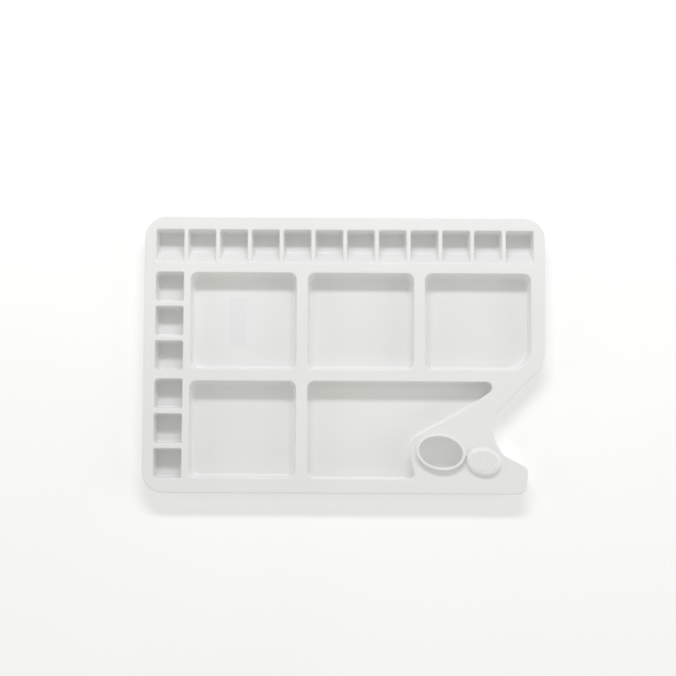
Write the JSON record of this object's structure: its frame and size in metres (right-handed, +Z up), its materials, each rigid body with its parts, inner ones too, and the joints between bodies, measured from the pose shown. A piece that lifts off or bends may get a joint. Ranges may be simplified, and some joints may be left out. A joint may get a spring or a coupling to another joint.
{
  "type": "paint mixing palette",
  "caption": "Flat white plastic artist's palette with rows of small paint wells, large mixing wells, an oval thumb hole with a collar and a ribbed thumb rest.",
  "frame": {"origin": "under the middle of the palette's box, on the surface that the rim stands on", "axes": "+X along the palette's length towards the thumb hole's end, +Y towards the row of twelve paint wells, +Z up out of the wells"},
  "size_m": [0.35, 0.2412, 0.0235],
  "materials": {
    "white_plastic": "satin to semi-gloss moulded white polystyrene",
    "sticker_paper": "blank matt label"
  },
  "bodies": {
    "root": {"back_sticker": "sticker_paper", "deck_plate": "white_plastic", "gate_mark": "white_plastic", "mixing_well_1": "white_plastic", "mixing_well_2": "white_plastic", "mixing_well_3": "white_plastic", "mixing_well_4": "white_plastic", "mixing_well_5": "white_plastic", "paint_well_left_01": "white_plastic", "paint_well_left_02": "white_plastic", "paint_well_left_03": "white_plastic", "paint_well_left_04": "white_plastic", "paint_well_left_05": "white_plastic", "paint_well_left_06": "white_plastic", "paint_well_top_01": "white_plastic", "paint_well_top_02": "white_plastic", "paint_well_top_03": "white_plastic", "paint_well_top_04": "white_plastic", "paint_well_top_05": "white_plastic", "paint_well_top_06": "white_plastic", "paint_well_top_07": "white_plastic", "paint_well_top_08": "white_plastic", "paint_well_top_09": "white_plastic", "paint_well_top_10": "white_plastic", "paint_well_top_11": "white_plastic", "paint_well_top_12": "white_plastic", "rim_skirt": "white_plastic", "thumb_hole_collar": "white_plastic", "thumb_rest_pad": "white_plastic", "thumb_rest_ribs": "white_plastic"}
  },
  "joints": []
}
